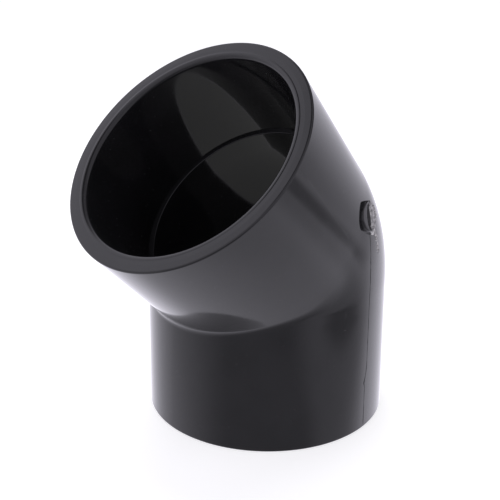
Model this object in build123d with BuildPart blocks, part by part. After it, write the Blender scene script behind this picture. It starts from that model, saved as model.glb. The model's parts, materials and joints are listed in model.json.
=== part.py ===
from build123d import *
from math import cos, radians, sin, tan
import os

# A 45 degree solvent-weld socket elbow for 110 mm PVC pipe, moulded in one shot.
# Each node is one natural region of the moulding, and all of them are fused on the real part.
# The origin is the centre of the lower socket's rim face. +Z runs up the lower socket's axis,
# the upper socket leans towards -X, and XZ is the plane that holds both axes.

# Driving dimensions, in millimetres and degrees
PIPE_DIAMETER = 110.0       # outside of the pipe that each socket takes
PIPE_CLEARANCE = 0.2        # socket bore over pipe, on the diameter
RIM_DIAMETER = 129.0        # outside of each socket at its rim
CENTRE_TO_RIM = 87.0        # from the crossing of the two axes to each rim face
SOCKET_DEPTH = 58.5         # from rim face to pipe stop
BEND_ANGLE = 45.0
BEND_RADIUS = 38.7          # centreline radius of the rounded, outer side of the bend
DRAFT = 0.9                 # radius lost between the rim and the start of the bend
STOP_HEIGHT = 1.8           # pipe stop's step, from the socket bore down to the passage
STOP_LENGTH = 4.0           # pipe stop's length along the passage
STOP_SEAT = 2.4             # how far the pipe stop's ring reaches into the wall behind the bore
STOP_ROUND = 0.4            # rounding of the pipe stop's inner edge
MOUTH_WIDTH = 3.4           # shallow lead-in at each socket's mouth, across the rim face
MOUTH_DEPTH = 1.4           # the same lead-in, along the bore
RIM_ROUND = 1.0             # rounding of each rim's outer edge

# The mould's joint line leaves a thin ridge along each side of the moulding
FLASH_WIDTH = 0.5
FLASH_HEIGHT = 0.2
FLASH_OFFSET = 2.6          # the joint line's distance from the side line, towards the outer side
FLASH_END_GAP = 1.0         # the ridge starts this far from each rim face
FLASH_ROOT = 20.0           # depth of the uncut slab that the ridge is trimmed from
FLASH_CLIMB = 18.0          # how far the front ridge goes on, straight up, to the gate

# The cut sprue stands on the front side of the bend, just above it
GATE_ANGLE = 71.0           # around the upper barrel, from the outer side of the bend to the front
GATE_HEIGHT = 17.5          # along the upper axis, from the crossing of the axes
GATE_DIAMETER = 16.0
GATE_STAND = 2.2            # the stub's height over the barrel
GATE_ROOT = 6.0             # how far the uncut cylinder reaches into the wall before it is trimmed
GATE_EDGE = 0.5             # rounding of the stub's cut edge

BORE_RADIUS = (PIPE_DIAMETER + PIPE_CLEARANCE) / 2
STOP_RADIUS = BORE_RADIUS + STOP_SEAT
PASSAGE_RADIUS = BORE_RADIUS - STOP_HEIGHT
RIM_RADIUS = RIM_DIAMETER / 2
BEND_TUBE_RADIUS = RIM_RADIUS - DRAFT
BEND_REACH = BEND_RADIUS * tan(radians(BEND_ANGLE / 2))

# Shared places: the crossing of the axes, and a frame on each rim that looks into its socket
CROSSING = Vector(0, 0, CENTRE_TO_RIM)
UPPER_AXIS = Vector(-sin(radians(BEND_ANGLE)), 0, cos(radians(BEND_ANGLE)))
UPPER_SIDE = Vector(cos(radians(BEND_ANGLE)), 0, sin(radians(BEND_ANGLE)))
LOWER_RIM = Plane(origin=(0, 0, 0), x_dir=(1, 0, 0), z_dir=(0, 0, 1))
UPPER_RIM = Plane(origin=CROSSING + UPPER_AXIS * CENTRE_TO_RIM, x_dir=-UPPER_SIDE, z_dir=-UPPER_AXIS)


def barrel_radius(depth):
    """Outer radius of a barrel at this depth below its rim face."""
    return RIM_RADIUS - DRAFT * depth / (CENTRE_TO_RIM - BEND_REACH)


def radial_section(rim):
    """The plane of a barrel's half section: x is the radius and y is the depth below the rim."""
    return Plane(origin=rim.origin, x_dir=rim.x_dir, z_dir=-rim.y_dir)


def barrel_axis(rim):
    return Axis(rim.origin, rim.z_dir)


def socket(rim):
    """One socket, from its rim face to the pipe stop, with a bevelled mouth and a rounded rim."""
    with BuildPart() as hub:
        with BuildSketch(radial_section(rim)):
            with BuildLine():
                Polyline(
                    (BORE_RADIUS, MOUTH_DEPTH),
                    (BORE_RADIUS + MOUTH_WIDTH, 0),
                    (RIM_RADIUS, 0),
                    (barrel_radius(SOCKET_DEPTH), SOCKET_DEPTH),
                    (BORE_RADIUS, SOCKET_DEPTH),
                    close=True,
                )
            make_face()
        revolve(axis=barrel_axis(rim))
        rim_face = hub.faces().sort_by(barrel_axis(rim))[0]
        outer_edge = rim_face.edges().sort_by(SortBy.RADIUS)[-1]
        fillet(outer_edge, RIM_ROUND)
    return hub.part


def bent_form(barrel_end_radius, bend_radius, depth):
    """A filled bent bar: two straight barrels, mitred on the inner side and rounded on the outer.

    depth is how far below each rim face the bar ends, and the radii are those at its ends and bend.
    """
    straight_end = CENTRE_TO_RIM - BEND_REACH
    with BuildPart() as form:
        for rim in (LOWER_RIM, UPPER_RIM):
            with BuildSketch(radial_section(rim)):
                with BuildLine():
                    Polyline(
                        (0, depth),
                        (barrel_end_radius, depth),
                        (bend_radius, straight_end),
                        (0, straight_end),
                        close=True,
                    )
                make_face()
            revolve(axis=barrel_axis(rim))
        with BuildSketch(Plane.XY.offset(straight_end)):
            Circle(bend_radius)
            with Locations((-BEND_RADIUS, 0)):
                Rectangle(
                    3 * RIM_RADIUS,
                    3 * RIM_RADIUS,
                    align=(Align.MIN, Align.CENTER),
                    mode=Mode.INTERSECT,
                )
        bend_line = Axis((-BEND_RADIUS, 0, straight_end), (0, -1, 0))
        revolve(axis=bend_line, revolution_arc=BEND_ANGLE)
    return form.part


def pipe_stop(rim):
    """The ring that a pipe's end meets at the bottom of a socket."""
    with BuildPart() as ring:
        with BuildSketch(rim.offset(SOCKET_DEPTH)):
            Circle(STOP_RADIUS)
            Circle(PASSAGE_RADIUS, mode=Mode.SUBTRACT)
        extrude(amount=STOP_LENGTH)
        stop_face = ring.faces().sort_by(barrel_axis(rim))[0]
        inner_edge = stop_face.edges().sort_by(SortBy.RADIUS)[0]
        fillet(inner_edge, STOP_ROUND)
    return ring.part


def flash(side, climb):
    """The joint line's ridge along one side, -1 at the front and +1 at the back.

    Its two runs meet on the mitre plane, and climb is how far the lower one goes on past there.
    """
    grown_rim = barrel_radius(FLASH_END_GAP) + FLASH_HEIGHT
    meeting_length = CENTRE_TO_RIM + FLASH_OFFSET * tan(radians(BEND_ANGLE / 2))
    runs = (
        (LOWER_RIM, FLASH_OFFSET, meeting_length + climb),
        (UPPER_RIM, -FLASH_OFFSET, meeting_length),
    )
    with BuildPart() as ridge:
        for rim, offset, length in runs:
            with BuildSketch(rim.offset(FLASH_END_GAP)):
                with Locations((offset, side * RIM_RADIUS)):
                    Rectangle(FLASH_WIDTH, FLASH_ROOT)
            extrude(amount=length - FLASH_END_GAP)
        add(
            bent_form(grown_rim, BEND_TUBE_RADIUS + FLASH_HEIGHT, FLASH_END_GAP),
            mode=Mode.INTERSECT,
        )
        add(bent_form(RIM_RADIUS, BEND_TUBE_RADIUS, 0), mode=Mode.SUBTRACT)
    return ridge.part


# Sockets: the two tapered barrels, each with a straight bore for the pipe
lower_socket = socket(LOWER_RIM)
upper_socket = socket(UPPER_RIM)

# Pipe stops: the step at the bottom of each socket
lower_stop = pipe_stop(LOWER_RIM)
upper_stop = pipe_stop(UPPER_RIM)

# Bend body: the thick-walled middle between the sockets, rounded outside and mitred inside
with BuildPart() as bend_body:
    add(bent_form(RIM_RADIUS, BEND_TUBE_RADIUS, 0))
    add(bent_form(PASSAGE_RADIUS, PASSAGE_RADIUS, 0), mode=Mode.SUBTRACT)
    for rim in (LOWER_RIM, UPPER_RIM):
        with BuildSketch(rim.offset(SOCKET_DEPTH)):
            Circle(STOP_RADIUS)
        extrude(amount=STOP_LENGTH, mode=Mode.SUBTRACT)
    split(bisect_by=LOWER_RIM.offset(SOCKET_DEPTH), keep=Keep.TOP)
    split(bisect_by=UPPER_RIM.offset(SOCKET_DEPTH), keep=Keep.TOP)

# Gate stub: what is left of the sprue, a low round stand that was cut off by hand
gate_turn = radians(GATE_ANGLE)
gate_normal = UPPER_SIDE * cos(gate_turn) + Vector(0, -1, 0) * sin(gate_turn)
gate_root = CROSSING + UPPER_AXIS * GATE_HEIGHT + gate_normal * (BEND_TUBE_RADIUS - GATE_ROOT)
with BuildPart() as gate_stub:
    with BuildSketch(Plane(origin=gate_root, x_dir=UPPER_AXIS, z_dir=gate_normal)):
        Circle(GATE_DIAMETER / 2)
    extrude(amount=GATE_ROOT + GATE_STAND)
    cut_face = gate_stub.faces().sort_by(Axis(gate_root, gate_normal))[-1]
    fillet(cut_face.edges(), GATE_EDGE)
    add(bent_form(RIM_RADIUS, BEND_TUBE_RADIUS, 0), mode=Mode.SUBTRACT)

# Flash: the mould joint's ridge on the front and on the back
front_flash = flash(-1, FLASH_CLIMB)
back_flash = flash(1, 0)

os.makedirs("parts", exist_ok=True)
for name, piece in (
    ("lower_socket", lower_socket),
    ("upper_socket", upper_socket),
    ("lower_stop", lower_stop),
    ("upper_stop", upper_stop),
    ("bend_body", bend_body.part),
    ("gate_stub", gate_stub.part),
    ("front_flash", front_flash),
    ("back_flash", back_flash),
):
    piece.label = name
    export_step(piece, f"parts/{name}.step")
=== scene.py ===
import json
import math

import bpy
import numpy as np
from mathutils import Matrix, Vector


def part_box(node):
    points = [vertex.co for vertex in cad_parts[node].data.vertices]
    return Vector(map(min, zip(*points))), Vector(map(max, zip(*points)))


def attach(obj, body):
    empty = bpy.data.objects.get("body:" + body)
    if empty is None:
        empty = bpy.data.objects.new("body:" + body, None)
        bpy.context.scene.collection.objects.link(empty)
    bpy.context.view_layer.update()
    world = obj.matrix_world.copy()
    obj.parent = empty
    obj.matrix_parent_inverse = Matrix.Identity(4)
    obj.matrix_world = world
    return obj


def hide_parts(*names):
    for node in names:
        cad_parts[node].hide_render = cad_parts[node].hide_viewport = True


# A 45 degree PVC socket elbow, standing on its lower rim on a white floor.
# Everything is in metres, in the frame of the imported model: the origin is the centre of the
# lower rim face, +Z runs up the lower barrel, and the upper barrel leans towards -X.

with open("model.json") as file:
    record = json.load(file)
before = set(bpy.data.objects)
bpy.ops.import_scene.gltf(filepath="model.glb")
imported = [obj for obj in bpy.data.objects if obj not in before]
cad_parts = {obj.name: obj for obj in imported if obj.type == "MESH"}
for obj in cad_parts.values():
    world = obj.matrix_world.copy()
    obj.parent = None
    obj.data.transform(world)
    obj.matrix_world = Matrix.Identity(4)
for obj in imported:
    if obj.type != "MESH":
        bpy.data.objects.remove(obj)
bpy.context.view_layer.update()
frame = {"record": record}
rng = np.random.default_rng(45)

MM = 0.001
TURN = 2 * math.pi

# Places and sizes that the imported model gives
mounts = {mount["name"]: mount for mount in frame["record"]["mounts"]}
upper_rim_place = np.array(mounts["upper_rim"]["pos_m"])
UPPER_AXIS = np.array(mounts["upper_rim"]["axis"])
UPPER_AXIS /= np.linalg.norm(UPPER_AXIS)
BORE_RADIUS = mounts["lower_bore"]["dims"]["r_mm"] * MM
lower_socket_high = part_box("lower_socket")[1]
lower_stop_low, lower_stop_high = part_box("lower_stop")
RIM_RADIUS = lower_socket_high.x
SOCKET_DEPTH = lower_socket_high.z
STOP_LENGTH = lower_stop_high.z - lower_stop_low.z
STOP_RADIUS = lower_stop_high.x
CENTRE_TO_RIM = upper_rim_place[0] / UPPER_AXIS[0]
BEND_ANGLE = math.acos(UPPER_AXIS[2])
UPPER_SIDE = np.array((UPPER_AXIS[2], 0.0, -UPPER_AXIS[0]))
CROSSING = np.array((0.0, 0.0, CENTRE_TO_RIM))

# The moulding's other dimensions, which match the part's
BEND_RADIUS = 38.7 * MM          # centreline radius of the rounded, outer side of the bend
DRAFT = 0.9 * MM                 # radius lost between the rim and the start of the bend
STOP_HEIGHT = 1.8 * MM
STOP_ROUND = 0.4 * MM
RIM_ROUND = 1.0 * MM             # rounding of each rim's outer edge
FLASH_OFFSET = 2.6 * MM          # the mould's joint line, from the side line to the outer side
FLASH_END_GAP = 1.0 * MM
FLASH_HEIGHT = 0.2 * MM
FLASH_CLIMB = 18.0 * MM          # how far the front joint line goes on, straight up, to the sprue
GATE_ANGLE = math.radians(71.0)  # the cut sprue's place, around and along the upper barrel
GATE_HEIGHT = 17.5 * MM
GATE_RADIUS = 8.0 * MM
GATE_STAND = 2.2 * MM

# Softer and finer shapes that the part leaves out
MOUTH_ROUND = 2.6 * MM           # soft rounding over each mouth's bevel
CREASE_ROUND = 5.5 * MM          # fillet in the fold on the inner side of the bend
PASSAGE_CREASE_ROUND = 0.5 * MM  # the same in the passage
CREASE_BLEND = 2.0 * MM          # how gradually the fillet grows into the bend's own radius
DRAFT_FADE = 7.0 * MM            # the barrel's taper dies out over this length before the bend
CORE_LINE_RADIUS = 58.4 * MM     # shallow line left on the rim face by the mould's core
CORE_LINE_WIDTH = 0.45 * MM
CORE_LINE_DEPTH = 0.08 * MM
CORE_LINE_FADE = 2.2 * MM        # the face runs back up to its full height over this width
CORE_LINE_ROUND = 0.15 * MM

# Worked out from them
BACK = np.array((0.0, 1.0, 0.0))
PASSAGE_RADIUS = BORE_RADIUS - STOP_HEIGHT
BEND_TUBE_RADIUS = RIM_RADIUS - DRAFT
HALF_TAN = math.tan(BEND_ANGLE / 2)
STRAIGHT_END = CENTRE_TO_RIM - BEND_RADIUS * HALF_TAN
BARREL_SLOPE = DRAFT / STRAIGHT_END
GATE_OUTWARD = UPPER_SIDE * math.cos(GATE_ANGLE) - BACK * math.sin(GATE_ANGLE)
GATE_MIDDLE = CROSSING + UPPER_AXIS * GATE_HEIGHT + GATE_OUTWARD * BEND_TUBE_RADIUS
GATE_ACROSS = np.cross(GATE_OUTWARD, UPPER_AXIS)

# A rim is its centre, its outer side and the way into its socket
LOWER_RIM = (np.zeros(3), np.array((1.0, 0.0, 0.0)), np.array((0.0, 0.0, 1.0)))
UPPER_RIM = (upper_rim_place, UPPER_SIDE, -UPPER_AXIS)

# Fineness of the meshes
COLUMNS = 288                    # points around every barrel
ANGLES = np.arange(COLUMNS) * TURN / COLUMNS
LONGEST_FACE = 4.0 * MM          # along a revolved profile
BARREL_ROWS = 8                  # in the straight part of each half of the bend
ARC_ROWS = 14                    # and in its curved part
WELD = 1e-8                      # points nearer than this are one point
TINY = 1e-14


# ---------------------------------------------------------------- meshes


def unit(vectors):
    return vectors / np.linalg.norm(vectors, axis=-1, keepdims=True)


def smooth(x):
    """Smooth step from 0 to 1 as x goes from 0 to 1."""
    x = np.clip(x, 0, 1)
    return x * x * (3 - 2 * x)


class Skin:
    """A mesh sewn from smooth patches, which share points where they meet and keep their own normals."""

    def __init__(self):
        self.places = []
        self.normals = []
        self.faces = []
        self.count = 0

    def grid(self, places, normals):
        """Adds a patch: rows of points, each row closed into a ring, with a normal for each."""
        rows, columns = places.shape[:2]
        index = self.count + np.arange(rows * columns).reshape(rows, columns)
        index = np.concatenate([index, index[:, :1]], axis=1)
        quads = np.stack(
            [index[:-1, :-1], index[:-1, 1:], index[1:, 1:], index[1:, :-1]], axis=-1
        ).reshape(-1, 4)
        flat_places = places.reshape(-1, 3)
        flat_normals = unit(normals.reshape(-1, 3))
        corner = flat_places[quads - self.count]
        facing = np.cross(corner[:, 2] - corner[:, 0], corner[:, 3] - corner[:, 1])
        turned = (facing * flat_normals[quads - self.count].mean(axis=1)).sum() < 0
        self.faces.append(quads[:, ::-1] if turned else quads)
        self.places.append(flat_places)
        self.normals.append(flat_normals)
        self.count += rows * columns

    def build(self, name):
        """Welds the patches into one object."""
        places = np.concatenate(self.places)
        normals = np.concatenate(self.normals)
        faces = np.concatenate(self.faces)
        key = np.round(places / WELD).astype(np.int64)
        _, first, welded = np.unique(key, axis=0, return_index=True, return_inverse=True)
        welded = welded.reshape(-1)
        kept_faces = []
        kept_normals = []
        for face in faces:
            ring = []
            for corner in face:
                if not ring or (welded[corner] != ring[-1][0] and welded[corner] != ring[0][0]):
                    ring.append((int(welded[corner]), normals[corner]))
            if len(ring) > 2:
                kept_faces.append([point for point, _ in ring])
                kept_normals.extend(normal for _, normal in ring)
        mesh = bpy.data.meshes.new(name)
        mesh.from_pydata(places[first].tolist(), [], kept_faces)
        mesh.polygons.foreach_set("use_smooth", [True] * len(mesh.polygons))
        mesh.normals_split_custom_set([tuple(normal) for normal in kept_normals])
        mesh.update()
        piece = bpy.data.objects.new(name, mesh)
        bpy.context.scene.collection.objects.link(piece)
        return piece


def section(corners, closed=True, steps=5):
    """A rounded profile in radius and depth: runs of (points, normals) that are smooth in themselves.

    Each corner is (radius, depth, rounding). A corner with no rounding is sharp, and ends a run.
    The profile runs with its material on the left, so that normals point to the right.
    """
    count = len(corners)
    spots = [np.array(corner[:2]) for corner in corners]
    runs = []
    run = []
    for i in range(count):
        here = spots[i]
        before = spots[i - 1] if closed or i else here - (spots[1] - here)
        after = spots[(i + 1) % count] if closed or i < count - 1 else here + (here - before)
        arrive = unit(here - before)
        leave = unit(after - here)
        normal_in = np.array((arrive[1], -arrive[0]))
        normal_out = np.array((leave[1], -leave[0]))
        rounding = corners[i][2]
        if rounding:
            bend = math.acos(np.clip(arrive @ leave, -1, 1))
            reach = rounding * math.tan(bend / 2)
            for step in range(steps + 1):
                part = step / steps
                blend = unit(normal_in * (1 - part) + normal_out * part)
                side = math.copysign(1, arrive[0] * leave[1] - arrive[1] * leave[0])
                start = here - arrive * reach
                centre = start - normal_in * rounding * side
                run.append((centre + blend * rounding * side, blend))
        else:
            run.append((here, normal_in))
            runs.append(run)
            run = [(here, normal_out)]
    if closed:
        runs[0] = run + runs[0]
    else:
        runs.append(run)
    return [
        (np.array([spot for spot, _ in run]), np.array([normal for _, normal in run]))
        for run in runs
        if len(run) > 1
    ]


def subdivided(spots, normals, longest):
    """Adds points to a profile's long runs."""
    places, facings = [spots[0]], [normals[0]]
    for i in range(1, len(spots)):
        pieces = max(1, math.ceil(np.linalg.norm(spots[i] - spots[i - 1]) / longest))
        for step in range(1, pieces + 1):
            part = step / pieces
            places.append(spots[i - 1] * (1 - part) + spots[i] * part)
            facings.append(unit(normals[i - 1] * (1 - part) + normals[i] * part))
    return np.array(places), np.array(facings)


def radial(side, angles):
    """Unit vectors around a barrel, from its outer side towards the back."""
    return np.cos(angles)[:, None] * side + np.sin(angles)[:, None] * BACK


def revolve(skin, rim, corners, closed=True):
    """Adds a revolved profile, whose depth is measured from a rim face into its socket."""
    place, side, inward = rim
    spokes = radial(side, ANGLES)
    for spots, normals in section(corners, closed):
        spots, normals = subdivided(spots, normals, LONGEST_FACE)
        ring_places = place + spots[:, None, 0:1] * spokes[None] + spots[:, None, 1:2] * inward
        ring_normals = normals[:, None, 0:1] * spokes[None] + normals[:, None, 1:2] * inward
        skin.grid(ring_places, ring_normals)


def barrel_radius(depth):
    """Outer radius at a depth below the rim face, in the straight part."""
    return RIM_RADIUS - BARREL_SLOPE * depth


def outer_radius(depth):
    """The same, kept even from the start of the bend on."""
    return barrel_radius(np.minimum(depth, STRAIGHT_END))


def passage_radius(depth):
    return np.full_like(depth, PASSAGE_RADIUS, dtype=float)


def mirrored(vectors, about=None):
    """Reflects from the lower half of the elbow to the upper half, through the mitre plane."""
    facing = unit(UPPER_AXIS + np.array((0.0, 0.0, 1.0)))
    offset = 0 if about is None else about
    local = vectors - offset
    return local - 2 * (local @ facing)[..., None] * facing + offset


def bend_half(radius_at, crease, first_depth):
    """Points and normals on a bent tube, from first_depth up to the mitre plane, row by row.

    Each line along the tube turns with a radius of its own: the bend's on the outer side, and no
    less than crease in the fold.
    """
    cosine, sine = np.cos(ANGLES), np.sin(ANGLES)
    radius = np.full(COLUMNS, radius_at(STRAIGHT_END))
    for _ in range(4):
        x = radius * cosine
        plain = BEND_RADIUS + x
        spread = np.hypot(plain - crease, CREASE_BLEND)
        rho = (plain + crease + spread) / 2
        rho_rate = (1 + (plain - crease) / spread) / 2
        start = CENTRE_TO_RIM + (x - rho) * HALF_TAN
        radius = radius_at(np.minimum(start, STRAIGHT_END))
    places, normals = [], []
    slope = (radius_at(0.0) - radius_at(STRAIGHT_END)) / STRAIGHT_END
    for row in range(BARREL_ROWS + 1):
        depth = first_depth + (start - first_depth) * row / BARREL_ROWS
        r = radius_at(np.minimum(depth, STRAIGHT_END))
        settle = smooth((start - depth) / np.minimum(DRAFT_FADE, start - first_depth))
        places.append(np.stack([r * cosine, r * sine, depth], axis=-1))
        normals.append(np.stack([cosine, sine, slope * settle], axis=-1))
    x_turn, y_turn = -radius * sine, radius * cosine
    for row in range(1, ARC_ROWS + 1):
        phi = BEND_ANGLE / 2 * row / ARC_ROWS
        cut = rho * (1 - math.cos(phi))
        places.append(np.stack([x - cut, radius * sine, start + rho * math.sin(phi)], axis=-1))
        around = np.stack(
            [
                x_turn * (1 - rho_rate * (1 - math.cos(phi))),
                y_turn,
                x_turn * (HALF_TAN * (1 - rho_rate) + rho_rate * math.sin(phi)),
            ],
            axis=-1,
        )
        along = np.array((-math.sin(phi), 0.0, math.cos(phi)))
        normals.append(unit(np.cross(around, along)))
    return np.array(places), np.array(normals)


def bent_tube(skin, radius_at, crease, first_depth, inside=False):
    """Adds both halves of a bent tube as one patch."""
    places, normals = bend_half(radius_at, crease, first_depth)
    upper_places = mirrored(places[-2::-1], CROSSING)
    upper_normals = mirrored(normals[-2::-1])
    normals = np.concatenate([normals, upper_normals])
    skin.grid(np.concatenate([places, upper_places]), -normals if inside else normals)


def socket_piece(name, rim):
    """A socket's wall: bore, mouth, rim face with its core line, and tapered outside."""
    skin = Skin()
    revolve(
        skin,
        rim,
        (
            (BORE_RADIUS, SOCKET_DEPTH, 0),
            (BORE_RADIUS, 0, MOUTH_ROUND),
            (CORE_LINE_RADIUS - CORE_LINE_WIDTH, 0, CORE_LINE_ROUND),
            (CORE_LINE_RADIUS, CORE_LINE_DEPTH, CORE_LINE_ROUND),
            (CORE_LINE_RADIUS + CORE_LINE_FADE, 0, RIM_ROUND),
            (RIM_RADIUS, 0, RIM_ROUND),
            (barrel_radius(SOCKET_DEPTH), SOCKET_DEPTH, 0),
        ),
    )
    return skin.build(name)


def stop_piece(name, rim):
    """The ring that a pipe's end meets."""
    skin = Skin()
    end = SOCKET_DEPTH + STOP_LENGTH
    revolve(
        skin,
        rim,
        (
            (PASSAGE_RADIUS, end, 0),
            (PASSAGE_RADIUS, SOCKET_DEPTH, STOP_ROUND),
            (STOP_RADIUS, SOCKET_DEPTH, 0),
            (STOP_RADIUS, end, 0),
        ),
    )
    return skin.build(name)


def body_piece(name):
    """The middle of the elbow, between the two sockets."""
    skin = Skin()
    stop_end = SOCKET_DEPTH + STOP_LENGTH
    bent_tube(skin, outer_radius, CREASE_ROUND, SOCKET_DEPTH)
    bent_tube(skin, passage_radius, PASSAGE_CREASE_ROUND, stop_end, inside=True)
    for rim in (LOWER_RIM, UPPER_RIM):
        revolve(
            skin,
            rim,
            (
                (PASSAGE_RADIUS, stop_end, 0),
                (STOP_RADIUS, stop_end, 0),
                (STOP_RADIUS, SOCKET_DEPTH, 0),
                (barrel_radius(SOCKET_DEPTH), SOCKET_DEPTH, 0),
            ),
            closed=False,
        )
    return skin.build(name)


def outside_distance(place):
    """How far a point is outside the elbow's outer surface, near the rounded side of the bend."""
    x, y, z = place
    if z < STRAIGHT_END:
        return math.hypot(x, y) - barrel_radius(max(z, 0))
    hinge_x, hinge_z = x + BEND_RADIUS, z - STRAIGHT_END
    turn = min(max(math.atan2(hinge_z, hinge_x), 0), BEND_ANGLE)
    if turn < BEND_ANGLE:
        return math.hypot(math.hypot(hinge_x, hinge_z) - BEND_RADIUS, y) - BEND_TUBE_RADIUS
    local = place - CROSSING
    depth = CENTRE_TO_RIM - local @ UPPER_AXIS
    return math.hypot(local @ UPPER_SIDE, y) - outer_radius(depth)


# A ridge's section: place across it in half widths, height as a share of its own, and tilt
RIDGE_PROFILE = (
    (-1.0, -0.35, -0.85),
    (-0.62, 0.35, -0.7),
    (-0.22, 0.94, -0.4),
    (0.0, 1.0, 0.0),
    (0.22, 0.94, 0.4),
    (0.62, 0.35, 0.7),
    (1.0, -0.35, 0.85),
)
RIDGE_ROOT = 0.25 * MM
SEARCH_REACH = 30.0 * MM
NORMAL_STEP = 0.01 * MM
OUTSET = 5.0 * MM                # points start this far outside before they settle on the surface

# The joint line, which wavers and swells
FLASH_STEP = 0.5 * MM
FLASH_WANDER = 0.05 * MM
FLASH_HALF_WIDTH = 0.20 * MM
UPPER_FLASH_HALF_WIDTH = 0.15 * MM
UPPER_FLASH_START = 1.0 * MM     # along the upper axis, from the crossing of the axes
UPPER_FLASH_CLEARANCE = 2.0 * MM  # kept free above the sprue
RIM_SWELL = 10.0 * MM            # the upper run stands higher over this length at the rim
LOW_SWELL_LEVEL = 6.0 * MM
LOW_SWELL_LENGTH = 4.0 * MM

# The front line's small step, and how far the line lies to one side below and above it
KINK_LEVEL = 26.0 * MM
KINK_LENGTH = 1.6 * MM
KINK_SHIFT = 0.7 * MM
KINK_WIDTH = 0.3 * MM
SHIFT_BELOW = -0.6 * MM
SHIFT_RISE = 1.3 * MM
SHIFT_LENGTH = 10.0 * MM


def settle_on_surface(place, heading):
    """The point where the elbow's outer surface is met, going from place along heading."""
    near, far = 0.0, SEARCH_REACH
    for _ in range(40):
        middle = (near + far) / 2
        if outside_distance(place + heading * middle) > 0:
            near = middle
        else:
            far = middle
    return place + heading * (near + far) / 2


def surface_normal(place):
    shifts = np.eye(3) * NORMAL_STEP
    return unit(np.array([outside_distance(place + s) - outside_distance(place - s) for s in shifts]))


def smooth_noise(length, spacing):
    """A wavering line of that many values, with about one swing in each spacing of them."""
    knots = rng.uniform(-1, 1, int(length / spacing) + 4)
    at = np.arange(length) / spacing
    low = at.astype(int)
    part = smooth(at - low)
    return knots[low] * (1 - part) + knots[low + 1] * part


def hump(distance, width):
    """A smooth hump: 1 at no distance, and nearly 0 past twice the width."""
    return np.exp(-((distance / width) ** 2))


def ridge(skin, route, heights, widths):
    """Adds a thin raised line on the outer surface, along a route of points already on it."""
    route = np.array(route)
    facing = np.array([surface_normal(place) for place in route])
    along = unit(np.gradient(route, axis=0))
    across = unit(np.cross(along, facing))
    facing = unit(np.cross(across, along))
    sides = [
        across * (widths * u)[:, None] + facing * (heights * v)[:, None] for u, v, _ in RIDGE_PROFILE
    ]
    under = -facing * RIDGE_ROOT
    places = np.stack([route + shift for shift in sides] + [route + under], axis=1)
    normals = np.stack([unit(facing + across * tilt) for _, _, tilt in RIDGE_PROFILE] + [-facing], axis=1)
    skin.grid(places, normals)


def lower_run(skin, front, inward):
    """The joint line up the lower barrel and, on the front, on to the sprue."""
    top = CENTRE_TO_RIM + FLASH_OFFSET * HALF_TAN + (FLASH_CLIMB if front else 0)
    levels = np.arange(FLASH_END_GAP, top, FLASH_STEP)
    offsets = FLASH_OFFSET + smooth_noise(len(levels), 12) * FLASH_WANDER
    kink = np.zeros(len(levels))
    if front:
        kink = hump(levels - KINK_LEVEL, KINK_LENGTH)
        rise = smooth((levels - KINK_LEVEL) / SHIFT_LENGTH)
        offsets += SHIFT_BELOW + SHIFT_RISE * rise - KINK_SHIFT * kink
    route = [
        settle_on_surface(np.array((x, 0, z)) - inward * (RIM_RADIUS + OUTSET), inward)
        for x, z in zip(offsets, levels)
    ]
    ends = smooth((levels - FLASH_END_GAP) / (2 * MM)) * smooth((top - levels) / (2 * MM))
    rough = 0.7 + 0.2 * smooth_noise(len(levels), 5) + 0.15 * smooth_noise(len(levels), 2)
    swell = 0.75 * rough + 0.3 * hump(levels - LOW_SWELL_LEVEL, LOW_SWELL_LENGTH)
    heights = FLASH_HEIGHT * (0.15 + swell * ends + 0.6 * kink)
    widths = FLASH_HALF_WIDTH * (1 + 0.3 * smooth_noise(len(levels), 7)) + KINK_WIDTH * kink
    ridge(skin, route, heights, widths)


def upper_run(skin, front, inward):
    """The joint line along the upper barrel, from the crossing or the sprue to the rim."""
    along = np.arange(UPPER_FLASH_START, CENTRE_TO_RIM - FLASH_END_GAP, FLASH_STEP)
    if front:
        along = along[along > GATE_HEIGHT + GATE_RADIUS + UPPER_FLASH_CLEARANCE]
    wander = smooth_noise(len(along), 12) * FLASH_WANDER
    route = []
    for distance, shift in zip(along, wander):
        base = CROSSING + UPPER_AXIS * distance + UPPER_SIDE * (FLASH_OFFSET + shift)
        route.append(settle_on_surface(base - inward * (RIM_RADIUS + OUTSET), inward))
    at_rim = smooth((along - (CENTRE_TO_RIM - RIM_SWELL)) / (2 * MM))
    ends = smooth((along[-1] - along) / (1.5 * MM)) * smooth((along - along[0]) / (3 * MM))
    heights = FLASH_HEIGHT * (0.1 + ends * (0.12 + 0.12 * smooth_noise(len(along), 4) + 0.5 * at_rim))
    widths = UPPER_FLASH_HALF_WIDTH * (1 + 0.3 * smooth_noise(len(along), 7))
    ridge(skin, route, heights, widths)


def joint_line(name, front):
    """The mould's joint line on one side of the elbow."""
    skin = Skin()
    inward = BACK if front else -BACK
    lower_run(skin, front, inward)
    upper_run(skin, front, inward)
    return skin.build(name)


# The cut sprue. Its own directions are along and across the upper barrel, from its middle.
TAIL_DIRECTION = math.radians(154.0)  # the way that it was torn off
TAIL_SPREAD = math.radians(24.0)
TAIL_LENGTH = 2.4 * MM
STUB_SHARE = 0.965               # the cut outline, as a share of the stub's full radius
STUB_SPOKES = 160
COLLAR_ALONG = 0.87              # direction of the smooth collar beside the torn face
COLLAR_ACROSS = 0.5
COLLAR_EDGE = 0.22               # where the collar starts, in radii towards it
COLLAR_BULGE = 0.25              # how much that edge curves
COLLAR_SKIN_EDGE = 0.13          # where the torn, pale material ends

# Torn flakes beside the stub: place along and across, length, width and height
TORN_MARKS = (
    (-15.0 * MM, 1.8 * MM, 6.5 * MM, 3.4 * MM, 0.6 * MM),
    (-20.5 * MM, 5.4 * MM, 7.0 * MM, 3.8 * MM, 0.4 * MM),
)
MARK_SPOKES = 48
MARK_ROOT = 0.4 * MM


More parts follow.
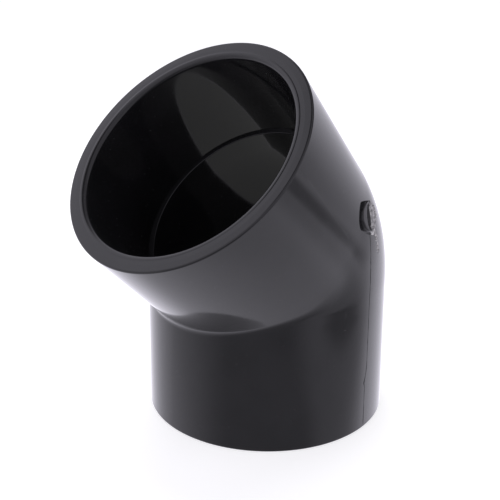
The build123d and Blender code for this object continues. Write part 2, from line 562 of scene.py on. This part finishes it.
def stub_place(u, v, height):
    return GATE_MIDDLE + UPPER_AXIS * u + GATE_ACROSS * v + GATE_OUTWARD * height


def torn_height(u, v, ripples):
    """Height of the stub's top over the barrel's tangent plane: collar, crevice and torn face."""
    q, p = u / GATE_RADIUS, v / GATE_RADIUS
    left = COLLAR_ALONG * q + COLLAR_ACROSS * p
    down = -COLLAR_ACROSS * q + COLLAR_ALONG * p
    rise = 0.0
    for k, (a, b, phase) in enumerate(ripples):
        waves = 2.2 + 0.8 * k
        rise += 0.42 / waves * math.sin(waves * (a * q + b * p) + 3 * phase)
    past_edge = left - COLLAR_EDGE + COLLAR_BULGE * down * down
    torn = 1 / (1 + math.exp(past_edge / 0.035))
    crevice = hump(past_edge - 0.08, 0.10) * math.exp(-((down / 0.7) ** 4))
    curl = hump(math.hypot(left + 0.1, down - 0.55) - 0.28, 0.08)
    collar = 0.84 + 0.04 * rise - 0.42 * (left - COLLAR_EDGE)
    plateau = 0.84 + 0.6 * rise - 0.15 * max(0, down) + 0.3 * curl
    height = collar * (1 - torn) + plateau * torn - 0.85 * crevice
    beyond = max(0, math.hypot(q, p) - 0.9)
    return GATE_STAND * min(max(height - 1.2 * beyond, 0.08), 1.0)


def lump_normals(places, outward):
    """Normals of a low lump of closed rings, from the middle of its top to the middle of its back."""
    padded = np.concatenate([places[:, -1:], places, places[:, :1]], axis=1)
    normals = np.cross((padded[:, 2:] - padded[:, :-2]) / 2, np.gradient(places, axis=0))
    size = np.linalg.norm(normals, axis=-1, keepdims=True)
    normals = np.where(size > TINY, normals / np.maximum(size, TINY), outward)
    if (normals[3] @ outward).mean() < 0:
        normals *= -1
    normals[0] = outward
    normals[-1] = -outward
    return normals


def sprue_stub(name):
    """The cut sprue: a low round stand with a torn, uneven top, and torn flakes below it."""
    turns = np.arange(STUB_SPOKES) * TURN / STUB_SPOKES
    swings = sum(
        amount * np.cos(waves * turns + phase)
        for amount, waves, phase in zip((0.012, 0.02, 0.012, 0.008), (2, 3, 5, 9), rng.uniform(0, TURN, 4))
    )
    from_tail = np.angle(np.exp(1j * (turns - TAIL_DIRECTION)))
    outline = GATE_RADIUS * (STUB_SHARE + swings) + TAIL_LENGTH * hump(from_tail, TAIL_SPREAD)
    ripples = rng.normal(size=(16, 3))

    rings = []
    top_shares = [(share, 0.0) for share in (*np.linspace(0, 0.93, 34), 0.965)]
    rounded_edge = [(0.99, 0.12 * MM), (1.0, 0.3 * MM)]
    for share, drop in top_shares + rounded_edge:
        ring = []
        for turn, edge in zip(turns, outline):
            u, v = edge * share * math.cos(turn), edge * share * math.sin(turn)
            ring.append(stub_place(u, v, torn_height(u, v, ripples) - drop))
        rings.append(ring)
    foot = []
    for turn, edge in zip(turns, outline):
        start = stub_place(edge * 1.01 * math.cos(turn), edge * 1.01 * math.sin(turn), 6 * MM)
        foot.append(settle_on_surface(start, -GATE_OUTWARD))
    root = GATE_OUTWARD * 0.6 * MM
    rings.append(foot)
    rings.append([place - root for place in foot])
    rings.append([np.mean(foot, axis=0) - root] * STUB_SPOKES)
    places = np.array(rings)
    skin = Skin()
    skin.grid(places, lump_normals(places, GATE_OUTWARD))
    for u, v, length, width, height in TORN_MARKS:
        torn_mark(skin, stub_place(u, v, 0), length, width, height)
    return skin.build(name)


def torn_mark(skin, middle, length, width, height):
    """A low torn flake on the surface, drawn out the way that the sprue was torn off."""
    long_way = UPPER_AXIS * math.cos(TAIL_DIRECTION) + GATE_ACROSS * math.sin(TAIL_DIRECTION)
    wide_way = np.cross(GATE_OUTWARD, long_way)
    turns = np.arange(MARK_SPOKES) * TURN / MARK_SPOKES
    swings = 1 + 0.12 * np.sin(3 * turns + rng.uniform(0, TURN))
    swings += 0.07 * np.sin(7 * turns + rng.uniform(0, TURN))
    fold_phase, cross_phase = rng.uniform(0, TURN, 4)[:2]
    rings = []
    for share in (0.02, 0.2, 0.38, 0.54, 0.68, 0.8, 0.9, 0.96, 1.0):
        ring = []
        for turn, swing in zip(turns, swings):
            a, b = share * swing * math.cos(turn), share * swing * math.sin(turn)
            start = middle + long_way * a * length / 2 + wide_way * b * width / 2 + GATE_OUTWARD * 8 * MM
            base = settle_on_surface(start, -GATE_OUTWARD)
            folds = math.sin(9 * b + 3 * a + fold_phase) + 0.6 * math.sin(6 * a - 5 * b + cross_phase)
            rise = (1 - share ** 4) * (0.72 + 0.17 * folds) - 0.12 * share ** 8
            ring.append(base + surface_normal(base) * height * rise)
        rings.append(ring)
    under = np.array(rings[-1]) - GATE_OUTWARD * MARK_ROOT
    top_middle = [np.mean(rings[0], axis=0)] * MARK_SPOKES
    back_middle = [under.mean(axis=0)] * MARK_SPOKES
    places = np.array([top_middle, *rings, under, back_middle])
    skin.grid(places, lump_normals(places, GATE_OUTWARD))


# ---------------------------------------------------------------- materials


class Nodes:
    """Short calls for wiring a node tree."""

    def __init__(self, tree):
        self.tree = tree

    def add(self, kind, inputs=None, **settings):
        node = self.tree.nodes.new(kind)
        for key, value in settings.items():
            setattr(node, key, value)
        for key, value in (inputs or {}).items():
            if isinstance(value, bpy.types.NodeSocket):
                self.tree.links.new(value, node.inputs[key])
            else:
                node.inputs[key].default_value = value
        return node

    def noise(self, where, scale, detail=2.0, roughness=0.5, distortion=0.0):
        return self.add(
            "ShaderNodeTexNoise",
            {
                "Vector": where,
                "Scale": scale,
                "Detail": detail,
                "Roughness": roughness,
                "Distortion": distortion,
            },
        ).outputs["Fac"]

    def remap(self, value, low, high, to_low, to_high):
        """A smooth step between two levels."""
        return self.add(
            "ShaderNodeMapRange",
            {"Value": value, "From Min": low, "From Max": high, "To Min": to_low, "To Max": to_high},
            interpolation_type="SMOOTHSTEP",
        ).outputs["Result"]

    def math(self, operation, a, b=0.0):
        return self.add("ShaderNodeMath", {0: a, 1: b}, operation=operation).outputs[0]

    def mapped(self, where, **settings):
        return self.add("ShaderNodeMapping", {"Vector": where, **settings}).outputs[0]

    def bump(self, height, strength, distance, normal=None):
        inputs = {"Height": height, "Strength": strength, "Distance": distance}
        if normal is not None:
            inputs["Normal"] = normal
        return self.add("ShaderNodeBump", inputs).outputs["Normal"]

    def blend(self, factor, a, b, colours=True):
        """a where factor is 0, b where it is 1."""
        node = self.add("ShaderNodeMix", data_type="RGBA" if colours else "FLOAT")
        sockets, result = ((0, 6, 7), 2) if colours else ((0, 2, 3), 0)
        for index, value in zip(sockets, (factor, a, b)):
            if isinstance(value, bpy.types.NodeSocket):
                self.tree.links.new(value, node.inputs[index])
            else:
                node.inputs[index].default_value = value
        return node.outputs[result]


PVC_IOR = 1.50
PVC_DARK = (0.0078, 0.0078, 0.0086, 1)
PVC_LIGHT = (0.0102, 0.0100, 0.0112, 1)
SCUFF_GREY = (0.06, 0.06, 0.065, 1)
DUST_GREY = (0.16, 0.155, 0.15, 1)
TORN_DARK = (0.020, 0.0195, 0.021, 1)
TORN_PALE = (0.56, 0.54, 0.55, 1)


def empty_material(name):
    """A new material, the calls for wiring it, and the place on the object."""
    material = bpy.data.materials.new(name)
    material.use_nodes = True
    material.node_tree.nodes.clear()
    nodes = Nodes(material.node_tree)
    return material, nodes, nodes.add("ShaderNodeTexCoord").outputs["Object"]


def finish_material(nodes, base, rough, normal):
    shader = nodes.add("ShaderNodeBsdfPrincipled", {"Base Color": base, "Roughness": rough, "Normal": normal})
    shader.inputs["IOR"].default_value = PVC_IOR
    nodes.add("ShaderNodeOutputMaterial", {"Surface": shader.outputs[0]})


def scratches(nodes, where, turn, stretch, scale, threshold):
    """Sparse fine lines: noise drawn out along one direction, kept only where it peaks."""
    lines = nodes.noise(nodes.mapped(where, Rotation=turn, Scale=stretch), scale, 3.0, 0.6, 0.15)
    return nodes.remap(lines, threshold, threshold + 0.05, 0.0, 1.0)


def pvc_material(name):
    """Semi-gloss moulded PVC: almost even dark grey, with faint flow marks, scuffs and handling dust."""
    material, nodes, where = empty_material(name)
    cloud = nodes.remap(nodes.noise(where, 38.0, 4.0, 0.55), 0.35, 0.65, 0.0, 1.0)
    grain = nodes.noise(where, 2600.0, 2.0, 0.6)
    flow = nodes.noise(nodes.mapped(where, Scale=(1.0, 1.0, 0.25)), 90.0, 3.0, 0.5, 0.6)
    lines = scratches(nodes, where, (0.35, 0.2, 0.5), (1.0, 14.0, 1.0), 60.0, 0.70)
    cross_lines = scratches(nodes, where, (1.1, 0.6, -0.4), (16.0, 1.0, 1.0), 45.0, 0.71)
    scuffs = nodes.math("MAXIMUM", lines, cross_lines)
    dust = nodes.remap(nodes.noise(where, 900.0, 1.0, 0.5), 0.74, 0.80, 0.0, 1.0)
    base = nodes.blend(cloud, PVC_DARK, PVC_LIGHT)
    base = nodes.blend(nodes.math("MULTIPLY", scuffs, 0.12), base, SCUFF_GREY)
    base = nodes.blend(nodes.math("MULTIPLY", dust, 0.05), base, DUST_GREY)
    rough = nodes.remap(flow, 0.25, 0.75, 0.055, 0.095)
    rough = nodes.math("ADD", rough, nodes.math("MULTIPLY", scuffs, 0.12))
    rough = nodes.math("ADD", rough, nodes.math("MULTIPLY", dust, 0.25))
    waviness = nodes.bump(nodes.noise(where, 24.0, 2.0, 0.45), 0.014, 4.0 * MM)
    fine = nodes.bump(grain, 0.008, 0.2 * MM, waviness)
    marks = nodes.bump(scuffs, 0.04, -0.1 * MM, fine)
    finish_material(nodes, base, rough, marks)
    return material


def torn_material(name):
    """The same PVC where it was cut and torn: rough, with stress-whitened fibres."""
    material, nodes, where = empty_material(name)
    drawn_out = nodes.mapped(where, Rotation=(0.2, 0.8, 0.1), Scale=(1.0, 1.0, 5.0))
    fibres = nodes.noise(drawn_out, 420.0, 5.0, 0.65, 0.5)
    patches = nodes.noise(where, 330.0, 4.0, 0.6)
    pits = nodes.noise(where, 1500.0, 3.0, 0.6)
    pale_fibres = nodes.remap(fibres, 0.32, 0.60, 0.0, 1.0)
    pale_patches = nodes.remap(patches, 0.30, 0.60, 0.25, 1.0)
    base = nodes.blend(nodes.math("MULTIPLY", pale_fibres, pale_patches), TORN_DARK, TORN_PALE)
    rough = nodes.remap(patches, 0.3, 0.7, 0.34, 0.58)
    coarse = nodes.bump(fibres, 0.7, 0.6 * MM)
    finish_material(nodes, base, rough, nodes.bump(pits, 0.35, 0.2 * MM, coarse))
    return material


# ---------------------------------------------------------------- the elbow


def skin_over(sprue, skin_material):
    """Gives the sprue's side wall and collar the moulding's own glossy skin."""
    sprue.data.materials.append(skin_material)
    collar_way = COLLAR_ALONG * UPPER_AXIS + COLLAR_ACROSS * GATE_ACROSS
    for polygon in sprue.data.polygons:
        place = np.array(polygon.center) - GATE_MIDDLE
        on_wall = np.array(polygon.normal) @ GATE_OUTWARD < 0.35
        edge = COLLAR_SKIN_EDGE * GATE_RADIUS - COLLAR_BULGE * (place @ place) / GATE_RADIUS
        polygon.material_index = 1 if on_wall or place @ collar_way > edge else 0


pvc = pvc_material("dark_grey_pvc")
torn = torn_material("torn_pvc")

pieces = (
    (socket_piece("lower_socket_shell", LOWER_RIM), "lower_socket", "dark_grey_pvc", pvc),
    (socket_piece("upper_socket_shell", UPPER_RIM), "upper_socket", "dark_grey_pvc", pvc),
    (stop_piece("lower_stop_ring", LOWER_RIM), "lower_stop", "dark_grey_pvc", pvc),
    (stop_piece("upper_stop_ring", UPPER_RIM), "upper_stop", "dark_grey_pvc", pvc),
    (body_piece("bend_shell"), "bend_body", "dark_grey_pvc", pvc),
    (sprue_stub("gate_sprue"), "gate_stub", "torn_pvc", torn),
    (joint_line("front_joint_line", True), "front_flash", "dark_grey_pvc", pvc),
    (joint_line("back_joint_line", False), "back_flash", "dark_grey_pvc", pvc),
)
for piece, node, slot_name, material in pieces:
    piece.data.materials.append(material)
    if node == "gate_stub":
        skin_over(piece, pvc)
    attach(piece, "root")
    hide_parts(node)


# ---------------------------------------------------------------- studio


def direction(azimuth, elevation):
    """A unit vector, with the azimuth turned from +X towards +Y, in degrees."""
    a, e = math.radians(azimuth), math.radians(elevation)
    return Vector((math.cos(a) * math.cos(e), math.sin(a) * math.cos(e), math.sin(e)))


def floor_disc(name, reach, level, colour, glow):
    """A flat disc that gives some light itself, as a bright studio floor does."""
    spokes = 96
    points = [
        (reach * math.cos(k * TURN / spokes), reach * math.sin(k * TURN / spokes), level)
        for k in range(spokes)
    ]
    mesh = bpy.data.meshes.new(name)
    mesh.from_pydata(points, [], [list(range(spokes))])
    disc = bpy.data.objects.new(name, mesh)
    bpy.context.scene.collection.objects.link(disc)
    material = bpy.data.materials.new(name + "_white")
    material.use_nodes = True
    shader = material.node_tree.nodes["Principled BSDF"]
    shader.inputs["Base Color"].default_value = (colour, colour, colour, 1)
    shader.inputs["Emission Color"].default_value = (1, 1, 1, 1)
    shader.inputs["Emission Strength"].default_value = glow
    shader.inputs["Roughness"].default_value = 0.9
    shader.inputs["Specular IOR Level"].default_value = 0.0
    mesh.materials.append(material)
    return disc


FLOOR_REACH = 12.0
FLOOR_WHITE = 0.75
FLOOR_GLOW = 0.62
# Painted shade: a dim grey disc, glowing a little, on the floor inside the lower socket
SHADE_LEVEL = 0.1 * MM
PAINTED_SHADE_GREY = 0.3
PAINTED_SHADE_GLOW = 0.40

# The open floor lights the elbow but is not mirrored in it: the studio's own light stands for it
# there. Inside the lower socket lies a painted shade: a dim, faintly glowing grey disc, mirrored.
floor = floor_disc("floor", FLOOR_REACH, 0.0, FLOOR_WHITE, FLOOR_GLOW)
floor.visible_glossy = False
floor_disc("painted_shade_floor", BORE_RADIUS, SHADE_LEVEL, PAINTED_SHADE_GREY, PAINTED_SHADE_GLOW)

world = bpy.data.worlds.new("studio")
bpy.context.scene.world = world
world.use_nodes = True
world.node_tree.nodes.clear()
tent = Nodes(world.node_tree)
ray = tent.add("ShaderNodeTexCoord").outputs["Generated"]


def patch(azimuth, elevation, half_width, half_height, edge):
    """1 in the middle of a soft-edged oval of the tent around that direction, 0 outside it."""
    middle = direction(azimuth, elevation)
    level = Vector((0, 0, 1)).cross(middle).normalized()
    upward = middle.cross(level)
    seen = []
    for axis, half in ((level, half_width), (upward, half_height)):
        seen.append(
            tent.add(
                "ShaderNodeVectorMath",
                {0: ray, 1: axis / math.sin(math.radians(half))},
                operation="DOT_PRODUCT",
            ).outputs["Value"]
        )
    squares = [tent.math("MULTIPLY", value, value) for value in seen]
    distance = tent.math("SQRT", tent.math("ADD", squares[0], squares[1]))
    front = tent.add("ShaderNodeVectorMath", {0: ray, 1: middle}, operation="DOT_PRODUCT").outputs["Value"]
    inside = tent.remap(distance, 1.0 - edge, 1.0 + edge, 1.0, 0.0)
    return tent.math("MULTIPLY", inside, tent.remap(front, 0.0, 0.1, 0.0, 1.0))


LOW_GLOW = 1.10                  # the tent's light from below, from the sides and from above
WALL_GLOW = 0.95
CEILING_GLOW = 0.42
TENT_TINT = (1.0, 0.975, 1.09, 1)

# Soft-edged ovals of the tent, painted one over the other: azimuth, elevation, half width, half
# height, softness of the edge, and light
PATCHES = (
    (25, -40, 62, 24, 0.35, 1.45),       # bright floor behind the elbow
    (-140, -32, 62, 40, 0.45, 0.38),     # dim floor on the camera's side
    (-128, -14, 40, 8, 0.5, 0.12),       # dark horizon behind the camera
    (-40, -9, 40, 7, 0.6, 0.70),         # soft shade above the dark strip
    (-70, -23.5, 38, 8, 0.5, 0.66),      # soft shade around it
    (-66, -20.2, 37, 3.8, 0.25, 0.34),   # dark strip, low on the camera's right
    (0, 32, 44, 26, 0.15, 0.18),         # dark panel on the right, behind the elbow
    (140, 72, 22, 17, 0.25, 0.12),       # dark panel overhead
    (104, 34, 26, 13, 0.35, 1.12),       # bright panel on the left, behind the elbow
    (-110, 45, 50, 32, 0.2, 0.60),       # dimmer wall, high on the camera's side
)

height = tent.add("ShaderNodeSeparateXYZ", {0: ray}).outputs[2]
light = tent.remap(height, -0.14, -0.04, LOW_GLOW, WALL_GLOW)
light = tent.blend(tent.remap(height, 0.77, 0.88, 0.0, 1.0), light, CEILING_GLOW, colours=False)
for *shape, glow in PATCHES:
    light = tent.blend(patch(*shape), light, glow, colours=False)
is_camera = tent.add("ShaderNodeLightPath").outputs["Is Camera Ray"]
light = tent.blend(is_camera, light, 1.0, colours=False)
background = tent.add("ShaderNodeBackground", {"Color": TENT_TINT, "Strength": light})
tent.add("ShaderNodeOutputWorld", {"Surface": background.outputs[0]})


def soft_light(name, place, target, size, power):
    """A round area lamp that looks at the target."""
    lamp = bpy.data.lights.new(name, "AREA")
    lamp.shape = "DISK"
    lamp.size = size
    lamp.energy = power
    holder = bpy.data.objects.new(name, lamp)
    bpy.context.scene.collection.objects.link(holder)
    holder.location = place
    holder.rotation_euler = (Vector(target) - Vector(place)).to_track_quat("-Z", "Y").to_euler()
    return holder


overhead = soft_light("overhead", (0.25, 0.25, 1.1), (0, 0, 0.05), 0.9, 6.0)
overhead.visible_glossy = False

# ---------------------------------------------------------------- camera

CAMERA_PLACE = Vector((-328.984, -265.512, 227.294)) * MM
CAMERA_FORWARD = Vector((0.72416, 0.61063, -0.32049))
CAMERA_UP = Vector((0.24161, 0.21063, 0.94724))

lens = bpy.data.cameras.new("camera")
lens.sensor_width = 36.0
lens.lens = 59.73
lens.clip_start = 0.01
camera = bpy.data.objects.new("camera", lens)
bpy.context.scene.collection.objects.link(camera)
camera_right = CAMERA_FORWARD.cross(CAMERA_UP).normalized()
camera_up = camera_right.cross(CAMERA_FORWARD).normalized()
turn = Matrix((camera_right, camera_up, -CAMERA_FORWARD.normalized())).transposed()
camera.matrix_world = Matrix.Translation(CAMERA_PLACE) @ turn.to_4x4()
bpy.context.scene.camera = camera

bpy.context.scene.view_settings.view_transform = "Standard"
